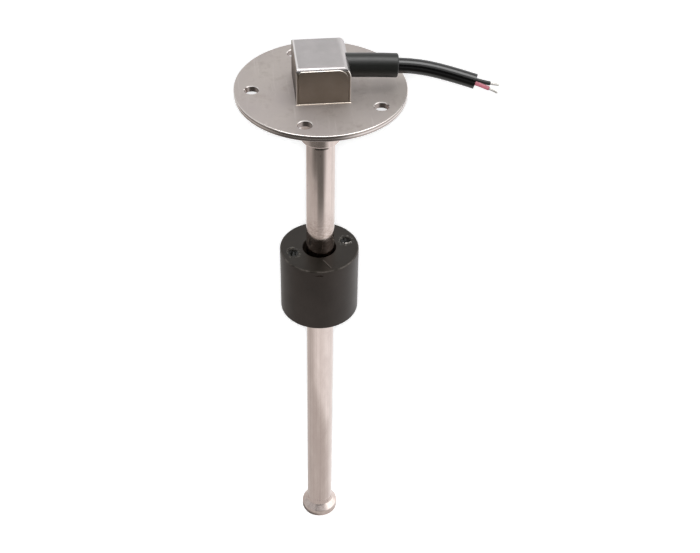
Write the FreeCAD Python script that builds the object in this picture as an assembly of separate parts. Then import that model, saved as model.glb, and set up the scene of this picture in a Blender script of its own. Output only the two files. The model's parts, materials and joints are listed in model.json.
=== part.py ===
import FreeCAD, Part
import math
import os

os.makedirs("parts", exist_ok=True)
Vector = FreeCAD.Vector

# Driving sizes in millimetres.
# Height 0 is the underside of the flange, and the stem hangs down from it.

# Room in every sliding-together fit, on each side
fit_gap = 0.05

# Flange: the holes sit a fixed distance in from the rim
flange_diameter = 68.0
flange_thickness = 2.5
flange_top_chamfer = 0.4
flange_bottom_chamfer = 0.4
bolt_edge = 7.0
bolt_hole = 5.5
bolt_count = 5
bolt_chamfer = 0.4
first_bolt_angle = 180.0

# Stem, with the collar round its top and the plug in its foot
insertion_length = 250.0
stem_diameter = 12.0
stem_wall = 1.0
stem_stand = 2.5
collar_wall = 2.15
collar_length = 21.5
collar_chamfer = 0.6
plug_lip = 2.6
plug_neck = 3.0
plug_flare = 2.9
plug_side = 3.6
plug_fillet = 2.5
plug_round = 1.2
plug_chamfer = 0.9
spigot_length = 6.0

# Head box on the flange: its sheet bends wide on the cable's side and tight on the other,
# and the roof's two ends roll over
head_width = 21.0
head_depth = 24.0
head_height = 15.3
head_cable_bend = 4.0
head_far_bend = 1.5
head_roll = 2.2
head_sheet = 0.9
plate_thickness = 1.5
plate_chamfer = 0.4

# Cable: the route runs from inside the head out over the flange's edge
cable_diameter = 6.0
cable_route = [
    (4.0, 0.0, 12.05),
    (14.5, 0.0, 11.55),
    (26.0, 0.0, 10.85),
    (38.0, -0.4, 9.85),
    (49.5, -2.75, 7.6),
    (59.7, -5.8, 5.05),
]
arc_share = 0.45
boot_diameter = 9.4
boot_length = 23.0
boot_grip = 2.8

# The two cores at the cable's free end
core_diameter = 1.7
core_spread = 1.2
core_length = 6.0
core_splay = 14.0
tinned_diameter = 1.0
tinned_length = 3.5

# Circuit inside the stem
sleeve_wall = 0.4
board_thickness = 1.0
board_drop = 1.0
lead_diameter = 1.2
lead_inset = 1.0
lead_lap = 5.0
reed_diameter = 2.0
reed_length = 10.0
reed_pitch = 12.0
reed_column_share = 0.7
reed_lead_width = 0.6
reed_lead_thickness = 0.25
reed_lead_run = 1.0
resistor_length = 3.2
resistor_width = 1.6
resistor_height = 0.55

# Float: its drop is from the flange's underside to the float's top, and it leans to one side of the stem
float_diameter = 33.9
float_height = 32.5
float_drop = 78.5
float_clearance = 1.2
float_lean = 0.4
float_chamfer = 0.4
float_bore_chamfer = 0.3
magnet_diameter = 4.4
magnet_length = 12.0
magnet_angle = 15.0
pocket_depth = 22.0
pocket_recess = 0.3

# Sizes that follow from them
stem_radius = stem_diameter / 2
bore_radius = stem_radius - stem_wall
collar_inner = stem_radius + fit_gap
collar_outer = collar_inner + collar_wall
stem_top = flange_thickness + stem_stand
plug_bottom = -insertion_length
plug_shoulder = plug_bottom + plug_side
plug_waist = plug_shoulder + plug_flare
stem_foot = plug_waist + plug_neck
spigot_top = stem_foot + spigot_length
sleeve_outer = bore_radius - fit_gap
sleeve_inner = sleeve_outer - sleeve_wall
board_face = board_thickness / 2
board_top = stem_top - board_drop
head_top = flange_thickness + head_height
head_end = head_depth / 2
head_inside = head_end - plate_thickness
float_top = -float_drop
float_bottom = float_top - float_height
float_bore = stem_radius + float_clearance
float_radius = float_diameter / 2
float_place = Vector(-float_lean, 0, 0)
route = [Vector(*point) for point in cable_route]


def corner_arc(before, corner, after, radius):
    """First, middle and last point of the arc that rounds a corner."""
    back = (before - corner).normalize()
    ahead = (after - corner).normalize()
    half = back.getAngle(ahead) / 2
    reach = radius / math.tan(half)
    inward = (back + ahead).normalize()
    middle = corner + inward * (radius / math.sin(half) - radius)
    return corner + back * reach, middle, corner + ahead * reach


def rounded_wire(points, radii, closed):
    """Wire through points, with an arc at each corner that has a radius."""
    count = len(points)
    corners = []
    for index, radius in enumerate(radii):
        if radius > 0:
            corners.append(corner_arc(points[index - 1], points[index], points[(index + 1) % count], radius))
        else:
            corners.append((points[index],))
    edges = []
    for index, corner in enumerate(corners):
        if len(corner) == 3:
            edges.append(Part.Arc(*corner).toShape())
        if closed or index + 1 < count:
            following = corners[(index + 1) % count]
            edges.append(Part.LineSegment(corner[-1], following[0]).toShape())
    return Part.Wire(edges)


def outline(corners):
    """Face in the XZ plane from (across, up, round) corners."""
    points = [Vector(across, 0, up) for across, up, radius in corners]
    return Part.Face(rounded_wire(points, [radius for across, up, radius in corners], True))


def turned(corners):
    """Solid of revolution about the stem's axis from (radius, height, round) corners."""
    return outline(corners).revolve(Vector(0, 0, 0), Vector(0, 0, 1), 360)


def rod(radius, bottom, top, across=0.0, along=0.0):
    """Upright cylinder between two heights."""
    return Part.makeCylinder(radius, top - bottom, Vector(across, along, bottom))


def cord_radii(points):
    """Arc radius at each inner point, as large as its two runs allow."""
    radii = [0.0]
    for before, corner, after in zip(points, points[1:], points[2:]):
        turn = (corner - before).getAngle(after - corner)
        shorter = min((corner - before).Length, (after - corner).Length)
        radii.append(arc_share * shorter / math.tan(turn / 2))
    return radii + [0.0]


def cord_path(points):
    return rounded_wire(points, cord_radii(points), False)


def stretch(path, begin, end):
    """The part of a path between two distances along it."""
    edges = []
    walked = 0.0
    for edge in path.OrderedEdges:
        low = max(begin - walked, 0.0)
        high = min(end - walked, edge.Length)
        if low < high:
            first = edge.getParameterByLength(low)
            last = edge.getParameterByLength(high)
            edges.append(edge.Curve.toShape(first, last))
        walked += edge.Length
    return Part.Wire(edges)


def tube(path, diameter):
    """Round bar swept along a path."""
    first = path.OrderedEdges[0]
    start = first.valueAt(first.FirstParameter)
    heading = first.tangentAt(first.FirstParameter)
    section = Part.Wire(Part.Circle(start, heading, diameter / 2).toShape())
    return path.makePipeShell([section], True, False)


def save(name, *shapes):
    solids = [solid for shape in shapes for solid in shape.Solids]
    whole = solids[0] if len(solids) == 1 else Part.makeCompound(solids)
    whole.exportStep("parts/" + name + ".step")


def make_flange():
    inner = collar_outer + fit_gap
    rim = flange_diameter / 2
    plate = turned([
        (inner, 0, 0),
        (rim - flange_bottom_chamfer, 0, 0),
        (rim, flange_bottom_chamfer, 0),
        (rim, flange_thickness - flange_top_chamfer, 0),
        (rim - flange_top_chamfer, flange_thickness, 0),
        (inner, flange_thickness, 0),
    ])
    radius = bolt_hole / 2
    wide = radius + bolt_chamfer
    cone = Part.makeCone(radius, wide, bolt_chamfer, Vector(0, 0, flange_thickness - bolt_chamfer))
    hole = rod(radius, 0, flange_thickness).fuse(cone)
    hole.translate(Vector(rim - bolt_edge, 0, 0))
    for index in range(bolt_count):
        turned_hole = hole.copy()
        turned_hole.rotate(Vector(0, 0, 0), Vector(0, 0, 1), first_bolt_angle + index * 360 / bolt_count)
        plate = plate.cut(turned_hole)
    return plate


def make_collar():
    """Ring that stands in the flange's middle hole and hangs below it round the stem."""
    return turned([
        (collar_inner, -collar_length, 0),
        (collar_outer - collar_chamfer, -collar_length, 0),
        (collar_outer, -collar_length + collar_chamfer, 0),
        (collar_outer, flange_thickness, 0),
        (collar_inner, flange_thickness, 0),
    ])


def make_stem():
    return rod(stem_radius, stem_foot, stem_top).cut(rod(bore_radius, stem_foot, stem_top))


def make_end_plug():
    spigot = bore_radius - fit_gap
    lip = stem_radius + plug_lip
    return turned([
        (0, plug_bottom, 0),
        (lip - plug_chamfer, plug_bottom, 0),
        (lip, plug_bottom + plug_chamfer, 0),
        (lip, plug_shoulder, plug_round),
        (stem_radius, plug_waist, plug_fillet),
        (stem_radius, stem_foot, 0),
        (spigot, stem_foot, 0),
        (spigot, spigot_top, 0),
        (0, spigot_top, 0),
    ])


def head_arch(inset):
    """Outline of the head box, drawn in from the outside by a thickness."""
    side = head_width / 2 - inset
    return outline([
        (side, flange_thickness, 0),
        (side, head_top - inset, head_cable_bend),
        (-side, head_top - inset, head_far_bend),
        (-side, flange_thickness, 0),
    ])


def head_block(inset, begin, end):
    """Solid arch between two places along the head."""
    block = head_arch(inset).extrude(Vector(0, end - begin, 0))
    block.translate(Vector(0, begin, 0))
    return block


def rolled_block():
    """Solid as wide as the head, with the two ends of its top rolled over."""
    side = outline([
        (head_end, flange_thickness, 0),
        (head_end, head_top, head_roll),
        (-head_end, head_top, head_roll),
        (-head_end, flange_thickness, 0),
    ])
    block = side.extrude(Vector(0, head_width, 0))
    block.translate(Vector(0, -head_width / 2, 0))
    block.rotate(Vector(0, 0, 0), Vector(0, 0, 1), 90)
    return block


def make_wrap(boot_room):
    """Bent sheet with rolled ends and a hole for the boot."""
    sheet = head_block(0, -head_end, head_end).common(rolled_block())
    return sheet.cut([head_block(head_sheet, -head_end, head_end), boot_room])


def make_end_plate(begin, end, outside):
    """Plate that closes one end of the arch, with its outer rim broken."""
    plate = head_block(head_sheet + fit_gap, begin, end)
    rim = [edge for edge in plate.Edges if abs(edge.CenterOfMass.y - outside) < plate_chamfer / 2]
    return plate.makeChamfer(plate_chamfer, rim)


def make_lead(side):
    """Insulated wire from the cable's inner end, over the stem's mouth and down one face of the board."""
    away = Vector(0, side * (board_face + fit_gap + lead_diameter / 2), 0)
    slope = (route[0] - route[1]).normalize()
    start = route[0] + away
    bend = start + slope * ((start.x + lead_inset) / -slope.x)
    end = Vector(bend.x, bend.y, board_top - lead_lap)
    return tube(cord_path([start, bend, end]), lead_diameter)


def core_path(side):
    """One core from the cable's cut end, bending a little away from the other."""
    heading = (route[-1] - route[-2]).normalize()
    sideways = heading.cross(Vector(0, 0, 1)).normalize() * side
    splay = math.radians(core_splay)
    start = route[-1] + sideways * core_spread
    bend = start + heading * (core_length / 2)
    end = bend + (heading * math.cos(splay) + sideways * math.sin(splay)) * (core_length / 2)
    return cord_path([start, bend, end])


def make_tinned_end(path):
    last = path.OrderedEdges[-1]
    end = last.valueAt(last.LastParameter)
    return Part.makeCylinder(tinned_diameter / 2, tinned_length, end, last.tangentAt(last.LastParameter))


def make_board():
    half_width = math.sqrt((sleeve_inner - fit_gap) ** 2 - board_face ** 2)
    return Part.makeBox(
        2 * half_width,
        board_thickness,
        board_top - spigot_top,
        Vector(-half_width, -board_face, spigot_top),
    )


def reed_places():
    """Across, along and height of each reed switch, in two staggered columns on the board's front face."""
    along = -(board_face + fit_gap + reed_diameter / 2)
    room = math.sqrt((sleeve_inner - fit_gap - reed_diameter / 2) ** 2 - along ** 2)
    column = reed_column_share * room
    highest = -collar_length - float_height / 2
    lowest = plug_waist + float_height / 2
    count = int((highest - lowest) / reed_pitch) + 1
    places = []
    for index in range(count):
        side = 1 if index % 2 else -1
        places.append((side * column, along, highest - index * reed_pitch))
    return places


def make_reed(across, along, height):
    return rod(reed_diameter / 2, height - reed_length / 2, height + reed_length / 2, across, along)


def make_reed_lead(across, along, height, up):
    """Flat lead from one end of a reed switch, bent over onto the board."""
    half = reed_lead_thickness / 2
    root = height + up * reed_length / 2
    tip = root + up * reed_lead_run
    fold = tip - up * reed_lead_thickness
    left = across - reed_lead_width / 2
    strip = [
        Vector(left, along - half, root),
        Vector(left, along - half, tip),
        Vector(left, -board_face, tip),
        Vector(left, -board_face, fold),
        Vector(left, along + half, fold),
        Vector(left, along + half, root),
    ]
    face = Part.Face(Part.makePolygon(strip + strip[:1]))
    return face.extrude(Vector(reed_lead_width, 0, 0))


def make_resistor(height):
    corner = Vector(-resistor_width / 2, board_face, height - resistor_length / 2)
    return Part.makeBox(resistor_width, resistor_height, resistor_length, corner)


def magnet_place(index):
    angle = math.radians(magnet_angle + 180 * index)
    radius = (float_bore + float_radius) / 2
    return radius * math.cos(angle), radius * math.sin(angle)


def make_float():
    body = turned([
        (float_bore, float_bottom + float_bore_chamfer, 0),
        (float_bore + float_bore_chamfer, float_bottom, 0),
        (float_radius - float_chamfer, float_bottom, 0),
        (float_radius, float_bottom + float_chamfer, 0),
        (float_radius, float_top - float_chamfer, 0),
        (float_radius - float_chamfer, float_top, 0),
        (float_bore + float_bore_chamfer, float_top, 0),
        (float_bore, float_top - float_bore_chamfer, 0),
    ])
    pocket = magnet_diameter / 2 + fit_gap
    for index in range(2):
        body = body.cut(rod(pocket, float_top - pocket_depth, float_top, *magnet_place(index)))
    return body


def make_magnet(index):
    foot = float_top - pocket_depth
    return rod(magnet_diameter / 2, foot, foot + magnet_length, *magnet_place(index))


def make_magnet_plug(index):
    foot = float_top - pocket_depth + magnet_length
    return rod(magnet_diameter / 2, foot, float_top - pocket_recess, *magnet_place(index))


# Cable and boot share one path, so the boot's bore follows the cable.
cable_path = cord_path(route)
boot_begin = head_width / 2 - head_sheet - boot_grip - route[0].x
boot_path = stretch(cable_path, boot_begin, boot_begin + boot_length)
cable = tube(cable_path, cable_diameter)
cable_room = tube(cable_path, cable_diameter + 2 * fit_gap)
boot = tube(boot_path, boot_diameter).cut(cable_room)
boot_room = tube(boot_path, boot_diameter + 2 * fit_gap)
print("cable arc radii", [round(radius, 1) for radius in cord_radii(route)])
print("cable length", round(cable_path.Length, 2))
print("cable volume", round(cable.Volume, 2), round(cable_path.Length * math.pi * cable_diameter ** 2 / 4, 2))

# Head box: bent wrap, two end plates and the resin inside, which leaves room for what it holds.
signal_lead = make_lead(-1)
ground_lead = make_lead(1)
potting = head_block(head_sheet + fit_gap, -head_inside, head_inside).cut([
    rod(stem_radius + fit_gap, flange_thickness, stem_top),
    boot_room,
    cable_room,
    signal_lead,
    ground_lead,
])

save("flange_plate", make_flange())
save("neck_collar", make_collar())
save("stem_tube", make_stem())
save("end_plug", make_end_plug())
save("head_wrap", make_wrap(boot_room))
save("head_front_plate", make_end_plate(-head_end, -head_inside, -head_end))
save("head_rear_plate", make_end_plate(head_inside, head_end, head_end))
save("head_potting", potting)
save("strain_relief_boot", boot)
save("cable_jacket", cable)

signal_path = core_path(1)
ground_path = core_path(-1)
save("signal_core", tube(signal_path, core_diameter))
save("ground_core", tube(ground_path, core_diameter))
save("tinned_core_ends", make_tinned_end(signal_path), make_tinned_end(ground_path))

save("signal_lead", signal_lead)
save("ground_lead", ground_lead)
save("board_sleeve", rod(sleeve_outer, spigot_top, stem_top).cut(rod(sleeve_inner, spigot_top, stem_top)))
save("sensor_board", make_board())
reeds = reed_places()
save("reed_capsules", *[make_reed(*place) for place in reeds])
save("reed_leads", *[make_reed_lead(*place, up) for place in reeds for up in (1, -1)])
save("chain_resistors", *[make_resistor(height) for across, along, height in reeds])

save("float_body", make_float().translated(float_place))
save("float_magnets", *[make_magnet(index).translated(float_place) for index in range(2)])
save("magnet_plugs", *[make_magnet_plug(index).translated(float_place) for index in range(2)])
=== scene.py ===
import json
import math
from math import radians

import bmesh
import bpy
from mathutils import Euler, Matrix, Vector, noise


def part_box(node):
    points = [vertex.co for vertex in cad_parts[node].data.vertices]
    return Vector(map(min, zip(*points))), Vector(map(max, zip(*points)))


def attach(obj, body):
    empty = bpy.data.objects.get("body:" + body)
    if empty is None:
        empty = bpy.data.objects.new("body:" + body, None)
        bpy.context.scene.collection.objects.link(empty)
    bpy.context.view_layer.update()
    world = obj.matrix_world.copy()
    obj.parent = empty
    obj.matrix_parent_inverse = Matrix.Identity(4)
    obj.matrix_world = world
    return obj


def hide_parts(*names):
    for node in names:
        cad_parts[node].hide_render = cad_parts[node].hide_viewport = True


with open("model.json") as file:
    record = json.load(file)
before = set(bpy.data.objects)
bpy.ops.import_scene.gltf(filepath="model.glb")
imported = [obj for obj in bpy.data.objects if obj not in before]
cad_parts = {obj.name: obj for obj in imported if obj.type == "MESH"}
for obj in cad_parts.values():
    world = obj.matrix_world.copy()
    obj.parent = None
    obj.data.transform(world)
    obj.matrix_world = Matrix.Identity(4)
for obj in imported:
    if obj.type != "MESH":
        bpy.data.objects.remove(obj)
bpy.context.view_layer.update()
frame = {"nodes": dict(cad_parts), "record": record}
scene = bpy.context.scene
upward = Vector((0, 0, 1))

# Sizes in metres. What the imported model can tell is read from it.
MM = 0.001
bolts = frame["record"]["mounts"][0]["dims"]
flange_low, flange_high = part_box("flange_plate")
collar_low, collar_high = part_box("neck_collar")
stem_low, stem_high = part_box("stem_tube")
plug_low, plug_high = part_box("end_plug")
wrap_low, wrap_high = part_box("head_wrap")
front_low, front_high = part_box("head_front_plate")
rear_low, rear_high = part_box("head_rear_plate")
float_low, float_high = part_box("float_body")
compound_low, compound_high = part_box("magnet_plugs")

fit_gap = 0.05 * MM
edge_break = 0.12 * MM
bend_margin = 0.1 * MM
merge_distance = 0.001 * MM
sharp_edge = radians(35)

# How finely round forms are divided
turned_sides = 192
wide_sides = 256
hole_sides = 96
pocket_sides = 64
sleeve_sides = 72
core_sides = 40
corner_steps = 6
rim_steps = 5
bend_steps = 24
route_steps = 24
cable_steps = 12
sweep_radius = 20 * MM

# Flange
flange_round = 0.4 * MM
flange_chamfer = 0.4 * MM
hole_chamfer = 0.28 * MM
first_hole_angle = radians(180)

# Stem, collar and plug
stem_wall = 1.0 * MM
collar_round = 0.5 * MM
plug_side = 3.6 * MM
plug_flare = 2.9 * MM
plug_round = 1.2 * MM
plug_foot_round = 0.9 * MM
plug_fillet = 2.5 * MM

# Head box: the roof's ends roll over, and the plates close it inside the sheet
head_sheet = 0.9 * MM
head_cable_bend = 4.0 * MM
head_far_bend = 1.5 * MM
head_roll = 2.2 * MM
plate_edge = 0.4 * MM
plate_side_edge = 0.1 * MM
wrap_edge = 0.4 * MM
bead_width = 0.5 * MM
bead_height = 0.36 * MM
bead_hollow = 0.35

# Cable: the route is the one that the solid tube follows
cable_diameter = 6.0 * MM
cable_route = [
    (0.0040, 0.0, 0.01205),
    (0.0145, 0.0, 0.01155),
    (0.0260, 0.0, 0.01085),
    (0.0380, -0.0004, 0.00985),
    (0.0495, -0.00275, 0.0076),
    (0.0597, -0.0058, 0.00505),
]
boot_diameter = 9.4 * MM
boot_length = 23.0 * MM
boot_grip = 2.8 * MM
boot_round = 0.5 * MM
core_diameter = 1.7 * MM
core_spread = 1.2 * MM
core_length = 6.0 * MM
core_splay = radians(14)
tinned_diameter = 1.0 * MM
tinned_length = 3.5 * MM
strand_count = 6
strand_turns = 1.1
strand_steps = 24
strand_sides = 10

# Float
float_axis = Vector(((float_low.x + float_high.x) / 2, (float_low.y + float_high.y) / 2, 0))
float_radius = (float_high.x - float_low.x) / 2
float_bore = 7.2 * MM
float_round = 0.45 * MM
float_bore_round = 0.3 * MM
pocket_radius = 2.25 * MM
pocket_depth = 22.0 * MM
nick_start = radians(-104)
nick_end = radians(-89)
nick_height = 0.9 * MM
nick_depth = 1.1 * MM
nick_drop = 2.2 * MM
crease_start = (-0.2 * MM, -8.8 * MM)
crease_end = (3.1 * MM, -15.1 * MM)
crease_width = 0.45 * MM
crease_depth = 0.35 * MM
slit_tip = 0.03
slit_lean = 1.8

# Torn filler over the magnets, and the lighter painted glint on it
scar_radius = 3.6 * MM
scar_lip = 0.6 * MM
scar_pit = 0.8 * MM
scar_crack = 0.7 * MM
scar_sink = 0.02 * MM
scar_waves = ((0.3, 1.6), (0.12, 6))
scar_seeds = (Vector((0, 4.7, 2.1)), Vector((11.3, 4.7, 2.1)))
scar_sides = 72
scar_rows = 20
lump_falloff, lump_step, lump_octaves = 0.8, 2.0, 4
lump_scale = 1100
lump_lift = 0.55
crack_scale = 520
crack_width = 0.2
glint_place = (12.0 * MM, 2.0 * MM)
glint_radius = 1.9 * MM
glint_turn = radians(35)

# Stage: the softbox and the dark flag only show in the metal
floor_height = plug_low.z
floor_reach = 4.0
table_lift = 0.4 * MM
softbox_corners = [(-0.35, -0.18, 0.62), (0.45, -0.18, 0.62), (0.45, 0.18, 0.62), (-0.35, 0.18, 0.62)]
softbox_light = 5.0
flag_corners = [(-0.32, -0.46, 0.13), (0.24, -0.46, 0.13), (0.24, -0.46, 0.50), (-0.32, -0.46, 0.50)]
flag_light = 0.03
room_light = 0.40
back_light = 0.92
key_size = 22 * MM
key_power = 5.2
key_lift = Vector((0, 0, 1.5 * MM))
key_target = Vector((0, 0, -0.08))
camera_place = Vector((-0.04188, -0.43498, 0.28397))
camera_turn = (49.027, -0.122, -5.394)
camera_lens = 67.91
camera_sensor = 36.0
camera_shift = 0.0426
camera_nearest = 10 * MM


# Small helpers

def new_object(name, data):
    obj = bpy.data.objects.new(name, data)
    scene.collection.objects.link(obj)
    return obj


def plain_mesh(obj):
    """The object's mesh with its modifiers applied, after which the object is gone."""
    bpy.context.view_layer.update()
    graph = bpy.context.evaluated_depsgraph_get()
    mesh = bpy.data.meshes.new_from_object(obj.evaluated_get(graph))
    bpy.data.objects.remove(obj)
    return mesh


def closed(mesh):
    """Merges doubles, points the faces outwards and shades smooth between sharp edges."""
    work = bmesh.new()
    work.from_mesh(mesh)
    bmesh.ops.remove_doubles(work, verts=work.verts, dist=merge_distance)
    bmesh.ops.recalc_face_normals(work, faces=work.faces)
    for face in work.faces:
        face.smooth = True
    for edge in work.edges:
        edge.smooth = not edge.is_manifold or edge.calc_face_angle() < sharp_edge
    work.to_mesh(mesh)
    work.free()
    return mesh


def mesh_of(name, work):
    """What was built in a work mesh, as a closed mesh."""
    mesh = bpy.data.meshes.new(name)
    work.to_mesh(mesh)
    work.free()
    return closed(mesh)


def lay_skin(work, rings, loop=False, caps=(0, -1)):
    """Faces from each ring of points to the next, and over the ends unless the rings make a loop."""
    rows = [[work.verts.new(point) for point in ring] for ring in rings]
    pairs = list(zip(rows, rows[1:]))
    if loop:
        pairs.append((rows[-1], rows[0]))
    for first, second in pairs:
        for index in range(len(first)):
            after = (index + 1) % len(first)
            work.faces.new((first[index], first[after], second[after], second[index]))
    for end in () if loop else caps:
        work.faces.new(rows[end])


def skin_mesh(name, rings, loop=False):
    """One skin as a closed mesh."""
    work = bmesh.new()
    lay_skin(work, rings, loop)
    return mesh_of(name, work)


def round_ring(centre, across, up, radius, sides):
    """Points of a circle, in the plane of two directions."""
    turns = [math.tau * index / sides for index in range(sides)]
    return [centre + (across * math.cos(turn) + up * math.sin(turn)) * radius for turn in turns]


def quarter(steps):
    """Angles of a quarter turn."""
    return [math.pi / 2 * index / steps for index in range(steps + 1)]


def carved(mesh, taken, kept_inside=()):
    """The mesh cut to what is inside some cutters and outside others, which are then gone."""
    obj = new_object("carved", mesh)
    for operation, cutters in (("INTERSECT", kept_inside), ("DIFFERENCE", taken)):
        for cutter in cutters:
            step = obj.modifiers.new("cut", "BOOLEAN")
            step.operation = operation
            step.solver = "EXACT"
            step.object = cutter
    cut = plain_mesh(obj)
    for cutter in (*kept_inside, *taken):
        bpy.data.objects.remove(cutter)
    return closed(cut)


def finished(name, data, material, body, slot, *nodes):
    """A finished piece, which rides on a body and stands for its CAD nodes."""
    data.materials.clear()
    data.materials.append(material)
    obj = new_object(name, data)
    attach(obj, body)
    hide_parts(*nodes)
    return obj


# Nodes

def set_inputs(node, inputs):
    """Links each input to a socket or sets it to a value, where a colour is red, green and blue."""
    for name, value in inputs.items():
        socket = node.inputs[name]
        if isinstance(value, bpy.types.NodeSocket):
            node.id_data.links.new(value, socket)
        else:
            socket.default_value = (*value, 1) if socket.type == "RGBA" else value


def add(tree, kind, inputs=None, **settings):
    """New node with its settings and its inputs."""
    node = tree.nodes.new(kind)
    for name, value in settings.items():
        setattr(node, name, value)
    set_inputs(node, inputs or {})
    return node


def made(tree, kind, inputs=None, **settings):
    """What a new node gives first."""
    return add(tree, kind, inputs, **settings).outputs[0]


def math_of(operation, first, second=0.0):
    """One step of arithmetic, in the tree that its first value comes from."""
    return made(first.id_data, "ShaderNodeMath", {0: first, 1: second}, operation=operation)


def plus(first, second):
    return math_of("ADD", first, second)


def minus(first, second):
    return math_of("SUBTRACT", first, second)


def times(first, second):
    return math_of("MULTIPLY", first, second)


def size_of(value):
    return math_of("ABSOLUTE", value)


def apart(first, second):
    return size_of(minus(first, second))


# Geometry trees

def geometry_tree(name, **inputs):
    """New tree with its named inputs, and the sockets that they come in by."""
    tree = bpy.data.node_groups.new(name, "GeometryNodeTree")
    for label, kind in inputs.items():
        tree.interface.new_socket(label, in_out="INPUT", socket_type="NodeSocket" + kind)
    tree.interface.new_socket("Piece", in_out="OUTPUT", socket_type="NodeSocketGeometry")
    return tree, add(tree, "NodeGroupInput").outputs


def end_tree(tree, geometry, finish):
    realized = made(tree, "GeometryNodeRealizeInstances", {"Geometry": geometry})
    coated = made(tree, "GeometryNodeSetMaterial", {"Geometry": realized, "Material": finish})
    add(tree, "NodeGroupOutput", {"Piece": coated})
    return tree


def turned_tree():
    """Rounds the corners of an outline of radius and height, and sweeps it round the stem's axis."""
    tree, given = geometry_tree(
        "turned piece", Outline="Geometry", Sides="Int", Steps="Int", Guide="Float", Finish="Material")
    line = made(tree, "GeometryNodeMeshToCurve", {"Mesh": given["Outline"]})
    corner = made(tree, "GeometryNodeInputNamedAttribute", {"Name": "round"}, data_type="FLOAT")
    rounded = made(tree, "GeometryNodeFilletCurve", {
        "Curve": line, "Count": given["Steps"], "Radius": corner, "Limit Radius": True}, mode="POLY")
    shift = made(tree, "ShaderNodeCombineXYZ", {"X": times(given["Guide"], -1.0)})
    section = made(tree, "GeometryNodeTransform", {
        "Geometry": rounded, "Translation": shift, "Scale": (1, -1, 1)})
    circle = made(tree, "GeometryNodeCurvePrimitiveCircle", {
        "Resolution": given["Sides"], "Radius": given["Guide"]})
    upright = made(tree, "GeometryNodeSetCurveNormal", {"Curve": circle}, mode="Z_UP")
    swept = made(tree, "GeometryNodeCurveToMesh", {"Curve": upright, "Profile Curve": section})
    joined = made(tree, "GeometryNodeMergeByDistance", {"Geometry": swept, "Distance": merge_distance})
    return end_tree(tree, joined, given["Finish"])


def drilled_tree(turned):
    """A turned plate with a ring of countersunk holes."""
    tree, given = geometry_tree(
        "drilled flange", Outline="Geometry", Sides="Int", Steps="Int", Guide="Float", Holes="Int",
        Circle="Float", First="Float", Hole="Float", Chamfer="Float", Top="Float", Finish="Material")
    passed_on = {label: given[label] for label in ("Outline", "Sides", "Steps", "Guide", "Finish")}
    cut = made(tree, "GeometryNodeGroup", passed_on, node_tree=turned)
    ring = made(tree, "GeometryNodeMeshCircle", {"Vertices": given["Holes"], "Radius": given["Circle"]})
    turn = made(tree, "ShaderNodeCombineXYZ", {"Z": given["First"]})
    placed = made(tree, "GeometryNodeTransform", {"Geometry": ring, "Rotation": turn})
    drill = made(tree, "GeometryNodeMeshCylinder", {
        "Vertices": hole_sides, "Radius": given["Hole"], "Depth": times(given["Top"], 4.0)})
    twice = times(given["Chamfer"], 2.0)
    sink = made(tree, "GeometryNodeMeshCone", {
        "Vertices": hole_sides,
        "Radius Bottom": given["Hole"],
        "Radius Top": plus(given["Hole"], twice),
        "Depth": twice,
    })
    lift = made(tree, "ShaderNodeCombineXYZ", {"Z": minus(given["Top"], given["Chamfer"])})
    raised = made(tree, "GeometryNodeTransform", {"Geometry": sink, "Translation": lift})
    for cutter in (drill, raised):
        copies = made(tree, "GeometryNodeInstanceOnPoints", {"Points": placed, "Instance": cutter})
        solid = made(tree, "GeometryNodeRealizeInstances", {"Geometry": copies})
        cut = made(tree, "GeometryNodeMeshBoolean", {"Mesh 1": cut, "Mesh 2": solid},
                   operation="DIFFERENCE", solver="EXACT")
    return end_tree(tree, cut, given["Finish"])


def strand_tree():
    """Thin wires twisted round each other into one tinned end."""
    tree, given = geometry_tree(
        "twisted strands", Seat="Geometry", Strands="Int", Wire="Float", Lay="Float", Length="Float",
        Turns="Float", Finish="Material")
    helix = made(tree, "GeometryNodeCurveSpiral", {
        "Resolution": strand_steps,
        "Rotations": given["Turns"],
        "Start Radius": given["Lay"],
        "End Radius": given["Lay"],
        "Height": given["Length"],
    })
    heart_line = made(tree, "GeometryNodeCurvePrimitiveLine", {"End": (0, 0, 1)})
    stretch = made(tree, "ShaderNodeCombineXYZ", {"X": 1.0, "Y": 1.0, "Z": given["Length"]})
    heart_path = made(tree, "GeometryNodeTransform", {"Geometry": heart_line, "Scale": stretch})
    section = made(tree, "GeometryNodeCurvePrimitiveCircle", {
        "Resolution": strand_sides, "Radius": given["Wire"]})
    wire, heart = [
        made(tree, "GeometryNodeCurveToMesh", {"Curve": path, "Profile Curve": section, "Fill Caps": True})
        for path in (helix, heart_path)
    ]
    points = made(tree, "GeometryNodePoints", {"Count": given["Strands"]})
    share = math_of("DIVIDE", made(tree, "GeometryNodeInputIndex"), given["Strands"])
    turn = made(tree, "ShaderNodeCombineXYZ", {"Z": times(share, math.tau)})
    strands = made(tree, "GeometryNodeInstanceOnPoints", {
        "Points": points, "Instance": wire, "Rotation": turn})
    whole = add(tree, "GeometryNodeJoinGeometry")
    for part in (strands, heart):
        tree.links.new(part, whole.inputs[0])
    return end_tree(tree, whole.outputs[0], given["Finish"])


def held(corners):
    """An outline's corners, with one more point each side of a rounded one to keep the flats flat."""
    points = []
    for index, (radius, height, bend) in enumerate(corners):
        here = Vector((radius, height))
        if not bend:
            points.append((radius, height, 0))
            continue
        before = (Vector(corners[index - 1][:2]) - here).normalized()
        after = (Vector(corners[(index + 1) % len(corners)][:2]) - here).normalized()
        reach = bend / math.tan(before.angle(after) / 2) + bend_margin
        points += [(*(here + before * reach), 0), (radius, height, bend), (*(here + after * reach), 0)]
    return points


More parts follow.
